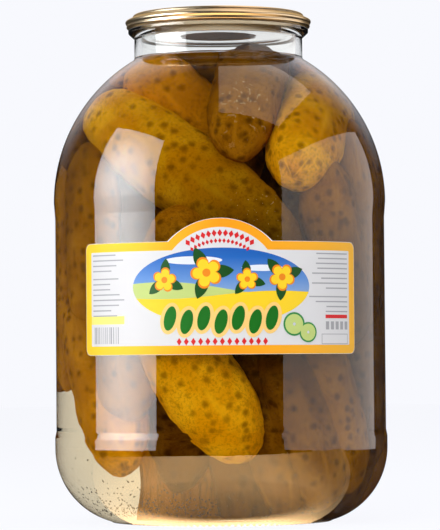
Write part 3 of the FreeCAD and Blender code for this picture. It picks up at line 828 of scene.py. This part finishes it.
def in_oval(low_left, low_right, swell):
    """The part of the oval below a swelling line, in mm from the oval's middle."""
    points = []
    for x, z in oval(82, 34, 96):
        share = (x + 41) / 82
        line = low_left + (low_right - low_left) * share + swell * math.sin(math.pi * share * 2)
        points.append((x, min(z, line)))
    return points


patch(in_oval(1.5, -3.0, 1.6), 4, hill_ink, OVAL)
patch(in_oval(-5.0, -2.5, -1.0), 5, field_ink, OVAL)
patch(oval(26, 3.6), 4, pale_ink, (-12, 41.5))
patch(oval(19, 2.8), 4, pale_ink, (19, 38.0))
for x, z, size, tilt in ((-25, 33, 5.6, 10), (-6, 36, 7.2, 40), (12, 33, 5.0, 20), (28, 34, 6.2, 55)):
    for side in (-150, -35, 75):
        patch(leaf(size * 1.7, size * 0.8), 6, leaf_ink, (x, z), side + tilt)
    patch(blossom(size), 7, orange_ink, (x, z), tilt)
    patch(blossom(size * 0.86), 8, field_ink, (x, z), tilt)
    patch(oval(size * 0.5, size * 0.5, 20), 9, orange_ink, (x, z))

# A row of green gherkins on peach.
for i in range(7):
    at = (-22.5 + 7.6 * i, 15.2 + 0.8 * (-1) ** i)
    patch(oval(8.8, 14.2, 32), 10, peach_ink, at, -14)
    patch(oval(5.4, 11.0, 32), 11, green_ink, at, -14)
patch(bar(52, 5.0), 10, peach_ink, (0.5, 15))

# Red ornaments: a row below, and an arc of lozenges in the arch.
for i in range(13):
    patch([(-1.1, 0), (0, -1.7), (1.1, 0), (0, 1.7)], 5, red_ink, (-18.4 + 3.2 * i, 5.7))
ARCH_ROUND = 31.7  # radius of the arch the lozenges follow
for count, drop, size in ((13, 6.6, 1.6), (15, 10.0, 1.1)):
    for i in range(count):
        swing = math.radians(-33 + 66 * i / (count - 1))
        reach = ARCH_ROUND - drop + 1.0
        at = (reach * math.sin(swing), ARCH_TOP - ARCH_ROUND + reach * math.cos(swing) - 1.0)
        patch([(-size * 0.7, 0), (0, -size), (size * 0.7, 0), (0, size)], 5, red_ink, at, -math.degrees(swing))

# Small print as plain grey lines, a lemon strip and bars at the left; lines and a box at the right.
chance = random.Random(11)
for i in range(12):
    wide = chance.uniform(10, 19)
    patch(bar(wide, 0.55), 4, grey_ink, (-64.0 + wide / 2, 44.6 - 2.35 * i - (1.2 if i > 3 else 0)))
    wide = chance.uniform(13, 23)
    patch(bar(wide, 0.55), 4, grey_ink, (64.0 - wide / 2, 44.6 - 2.2 * i - (1.6 if i > 7 else 0)))
patch(bar(20, 3.6), 3, lemon_ink, (-LABEL_HALF + BORDER + 10, 15.6))
x = -63.0
while x < -48.5:
    wide = chance.choice((0.35, 0.5, 0.8))
    patch(bar(wide, 7.4), 4, grey_ink, (x, 8.8))
    x += wide + chance.choice((0.45, 0.6, 0.9))
patch(bar(13.5, 1.6), 4, red_ink, (57.0, 16.6))
for i in range(5):
    patch(bar(1.9, 3.6), 4, grey_ink, (51.4 + 2.9 * i, 12.6))
patch(bar(16, 4.6), 4, grey_ink, (56.0, 6.6))
patch(bar(15.4, 4.0), 5, white_ink, (56.0, 6.6))

# Two cucumber slices.
for x, z, size in ((33.6, 13.2, 10.5), (40.6, 9.6, 9.0)):
    patch(oval(size, size, 32), 12, rind_ink, (x, z))
    patch(oval(size * 0.84, size * 0.84, 32), 13, hill_ink, (x, z))
    for i in range(6):
        patch(oval(size * 0.07, size * 0.16, 10), 14, pale_ink, (x, z), 60 * i)

nothing_selected()
for piece in print_fields:
    piece.select_set(True)
bpy.context.view_layer.objects.active = print_fields[0]
bpy.ops.object.join()
label_print = bpy.context.object
bpy.ops.object.mode_set(mode="EDIT")
for i in range(-35, 36):
    bpy.ops.mesh.select_all(action="SELECT")
    bpy.ops.mesh.bisect(plane_co=(2.0 * i, 0, 0), plane_no=(1, 0, 0))
bpy.ops.object.mode_set(mode="OBJECT")
for vertex in label_print.data.vertices:
    x, layer, z = vertex.co
    reach = (LABEL_FACE - layer * INK) * MM
    around = x / LABEL_FACE
    vertex.co = (reach * math.sin(around), -reach * math.cos(around), (LABEL_BASE + z) * MM)
for face in label_print.data.polygons:
    if face.normal.dot(Vector((face.center.x, face.center.y, 0))) < 0:
        face.flip()
settle(label_print, "label_print")

# ---------------------------------------------------------------- floor, backdrop and lamps
SHEET = "#F8F9FE"


def straight_sight(owner):
    """A factor of 1 for what the camera sees, also through glass, before any light has been scattered."""
    path = add(owner, "ShaderNodeLightPath")
    seen = add(
        owner,
        "ShaderNodeMath",
        {"operation": "ADD", "use_clamp": True},
        {0: path.outputs["Is Camera Ray"], 1: path.outputs["Is Transmission Ray"]},
    )
    first = add(owner, "ShaderNodeMath", {"operation": "LESS_THAN", 1: 0.5}, {0: path.outputs["Diffuse Depth"]})
    return add(owner, "ShaderNodeMath", {"operation": "MULTIPLY"}, {0: seen.outputs[0], 1: first.outputs[0]})


def backdrop_paper():
    """White background paper: it shows as pure white, and keeps a part of the object's shadow."""
    material = blank("white_background_paper")
    shown = straight_sight(material)
    glow = add(material, "ShaderNodeEmission", {"Color": linear(SHEET), "Strength": 1.045})
    matt = add(material, "ShaderNodeBsdfDiffuse", {"Color": linear("#F2F2F2")})
    share = add(material, "ShaderNodeMath", {"operation": "MULTIPLY", 1: 0.92}, {0: shown.outputs[0]})
    both = add(
        material,
        "ShaderNodeMixShader",
        None,
        {0: share.outputs[0], 1: matt.outputs[0], 2: glow.outputs[0]},
    )
    return finish(material, both)


nothing_selected()
bpy.ops.mesh.primitive_plane_add(size=9.0, location=(0, 0, -0.0002))
floor = bpy.context.object
floor.name = "floor"
floor.data.materials.append(backdrop_paper())

world = bpy.data.worlds.new("studio")
bpy.context.scene.world = world
world.use_nodes = True
world.node_tree.nodes.clear()
seen = straight_sight(world)
sheen = add(world, "ShaderNodeLightPath").outputs["Is Glossy Ray"]
soft = add(world, "ShaderNodeBackground", {"Color": linear("#F2F6FF"), "Strength": 0.35})
towards = add(world, "ShaderNodeSeparateXYZ", None, {0: add(world, "ShaderNodeTexCoord").outputs["Generated"]})
# Gloss sees a dark room, with white only high up behind the jar, which is what the lid's slope mirrors.
behind = add(world, "ShaderNodeMapRange", {"From Min": 0.2, "From Max": 0.5}, {"Value": towards.outputs[1]})
above = add(world, "ShaderNodeMapRange", {"From Min": 0.12, "From Max": 0.4}, {"Value": towards.outputs[2]})
off_axis = add(world, "ShaderNodeMath", {"operation": "ABSOLUTE"}, {0: towards.outputs[0]})
middle = add(
    world,
    "ShaderNodeMapRange",
    {"From Min": 0.3, "From Max": 0.68, "To Min": 1.0, "To Max": 0.0},
    {"Value": off_axis.outputs[0]},
)
high = add(world, "ShaderNodeMath", {"operation": "MULTIPLY"}, {0: behind.outputs[0], 1: above.outputs[0]})
share = add(world, "ShaderNodeMath", {"operation": "MULTIPLY"}, {0: high.outputs[0], 1: middle.outputs[0]})
white = add(world, "ShaderNodeMath", {"operation": "MULTIPLY_ADD", 1: 1.2, 2: 0.012}, {0: share.outputs[0]})
dim = add(world, "ShaderNodeBackground", {"Color": linear("#F2F6FF")}, {"Strength": white.outputs[0]})
room = add(world, "ShaderNodeMixShader", None, {0: sheen, 1: soft.outputs[0], 2: dim.outputs[0]})
sheet = add(world, "ShaderNodeBackground", {"Color": linear(SHEET), "Strength": 1.0})
both = add(world, "ShaderNodeMixShader", None, {0: seen.outputs[0], 1: room.outputs[0], 2: sheet.outputs[0]})
add(world, "ShaderNodeOutputWorld", None, {"Surface": both.outputs[0]})


def lamp(name, azimuth, height, distance, width, tall, power, tint="#FFFFFF", aim=0.12):
    """A softbox on the camera's side of the jar: azimuth 0 is straight in front, positive to the right."""
    a = math.radians(azimuth)
    place = Vector((math.sin(a) * distance, -math.cos(a) * distance, height))
    light = bpy.data.lights.new(name, "AREA")
    light.shape = "RECTANGLE"
    light.size = width
    light.size_y = tall
    light.energy = power
    light.color = linear(tint)[:3]
    holder = bpy.data.objects.new(name, light)
    bpy.context.scene.collection.objects.link(holder)
    holder.location = place
    holder.rotation_euler = (Vector((0, 0, aim)) - place).to_track_quat("-Z", "Y").to_euler()
    holder.visible_transmission = False
    return holder


def mirrored_only(holder):
    """A lamp whose face shows in the glass and the tinplate, and lights nothing else."""
    holder.visible_diffuse = False
    holder.visible_volume_scatter = False
    return holder


def unmirrored(holder):
    """A lamp that lights but doesn't show in the glass or the tinplate."""
    holder.visible_glossy = False
    return holder


unmirrored(lamp("key_front", -18, 0.95, 1.7, 1.2, 1.2, 19))
unmirrored(lamp("top_light", 0, 1.5, 0.3, 1.0, 1.0, 9))
mirrored_only(lamp("softbox_right", 86, 0.33, 0.9, 1.74, 0.7, 6.4, tint="#FFF5EE", aim=0.33))
overhead = mirrored_only(lamp("softbox_top", 90, 1.49, 0.55, 1.1, 1.5, 9.8, tint="#FFE6CC"))
overhead.location.y = -0.05
overhead.rotation_euler = (0, 0, 0)

# The left softbox is a sheet of diffuser cloth, brightest a little below its middle.
nothing_selected()
bpy.ops.mesh.primitive_plane_add(size=1)
cloth = bpy.context.object
cloth.name = "softbox_left"
aside_left = math.radians(69)
cloth.scale = (1.17, 1.19, 1)
cloth.rotation_euler = (math.radians(90), 0, -aside_left)
cloth.location = (-1.25 * math.sin(aside_left), -1.25 * math.cos(aside_left), 0.577)
diffuser = blank("diffuser_cloth")
spread = add(diffuser, "ShaderNodeTexCoord").outputs["Object"]
shifted = add(diffuser, "ShaderNodeVectorMath", {"operation": "SUBTRACT", 1: (0.0, -0.12, 0.0)}, {0: spread})
away = add(diffuser, "ShaderNodeVectorMath", {"operation": "LENGTH"}, {0: shifted.outputs[0]})
fade = add(
    diffuser,
    "ShaderNodeMapRange",
    {"interpolation_type": "SMOOTHSTEP", "From Min": 0.1, "From Max": 0.6, "To Min": 14.5, "To Max": 5.3},
    {"Value": away.outputs["Value"]},
)
face = add(diffuser, "ShaderNodeEmission", {"Color": linear("#FFFFFF")}, {"Strength": fade.outputs[0]})
cloth.data.materials.append(finish(diffuser, face))
cloth.visible_camera = False
cloth.visible_diffuse = False
cloth.visible_transmission = False
cloth.visible_volume_scatter = False
cloth.visible_shadow = False

# A painted reflection: a glowing card in front of the jar, as the heel mirrors a lit table: fading out
# to the left and right, and painted shadow right under the jar. It lights nothing and only gloss sees it.
nothing_selected()
bpy.ops.mesh.primitive_circle_add(vertices=64, radius=0.3, fill_type="NGON", location=(0, 0, -0.0001))
table = bpy.context.object
table.name = "lit_table"
for vertex in table.data.vertices:
    vertex.co.y = min(vertex.co.y, -0.03)
    vertex.co.x *= 3 if vertex.co.x > 0 else 1
lit = blank("table_seen_in_glass")
place = add(lit, "ShaderNodeTexCoord").outputs["Object"]
reach = add(lit, "ShaderNodeVectorMath", {"operation": "LENGTH"}, {0: place})
sides = add(lit, "ShaderNodeSeparateXYZ", None, {0: place})
aside = add(lit, "ShaderNodeMath", {"operation": "DIVIDE"}, {0: sides.outputs[0], 1: reach.outputs["Value"]})
left = add(lit, "ShaderNodeMapRange", {"From Min": -1.0, "From Max": -0.5}, {"Value": aside.outputs[0]})
right = add(
    lit,
    "ShaderNodeMapRange",
    {"From Min": 0.4, "From Max": 0.85, "To Min": 1.0, "To Max": 0.15},
    {"Value": aside.outputs[0]},
)
# Painted reflection: stronger where the card is seen at a slant.
slant = add(lit, "ShaderNodeLayerWeight", {"Blend": 0.5})
low = add(lit, "ShaderNodeMapRange", {"From Min": 0.12, "From Max": 0.3}, {"Value": slant.outputs["Facing"]})
near = add(
    lit,
    "ShaderNodeMapRange",
    {"From Min": 0.12, "From Max": 0.16, "To Min": 0.8, "To Max": 0.0},
    {"Value": reach.outputs["Value"]},
)
# Painted shadow: the reflection goes dark right under the jar.
under = add(
    lit,
    "ShaderNodeMapRange",
    {"From Min": 0.055, "From Max": 0.085},
    {"Value": reach.outputs["Value"]},
)
close = add(lit, "ShaderNodeMath", {"operation": "MULTIPLY"}, {0: near.outputs[0], 1: under.outputs[0]})
shown = add(lit, "ShaderNodeMath", {"operation": "MAXIMUM"}, {0: low.outputs[0], 1: close.outputs[0]})
across = add(lit, "ShaderNodeMath", {"operation": "MULTIPLY"}, {0: left.outputs[0], 1: right.outputs[0]})
strength = add(lit, "ShaderNodeMath", {"operation": "MULTIPLY"}, {0: shown.outputs[0], 1: across.outputs[0]})
level = add(lit, "ShaderNodeMath", {"operation": "MULTIPLY_ADD", 1: 8.0, 2: 0.25}, {0: strength.outputs[0]})
glow = add(lit, "ShaderNodeEmission", {"Color": linear("#F5CA90")}, {"Strength": level.outputs[0]})
table.data.materials.append(finish(lit, glow))
table.visible_camera = False
table.visible_diffuse = False
table.visible_transmission = False
table.visible_shadow = False
floor.visible_glossy = False

# ---------------------------------------------------------------- camera
camera_data = bpy.data.cameras.new("camera")
camera_data.lens = 206
camera_data.sensor_width = 36
DISTANCE, EYE = 1.41, 0.070  # from the jar's axis, and above the floor
TILT, ROLL = math.radians(1.98), math.radians(-0.45)
camera = bpy.data.objects.new("camera", camera_data)
bpy.context.scene.collection.objects.link(camera)
camera.location = (0, -DISTANCE, EYE)
roll = Matrix.Rotation(ROLL, 3, "Z")
camera.rotation_euler = (Matrix.Rotation(math.pi / 2 + TILT, 3, "X") @ roll).to_euler()
bpy.context.scene.camera = camera
bpy.context.scene.view_settings.view_transform = "Standard"
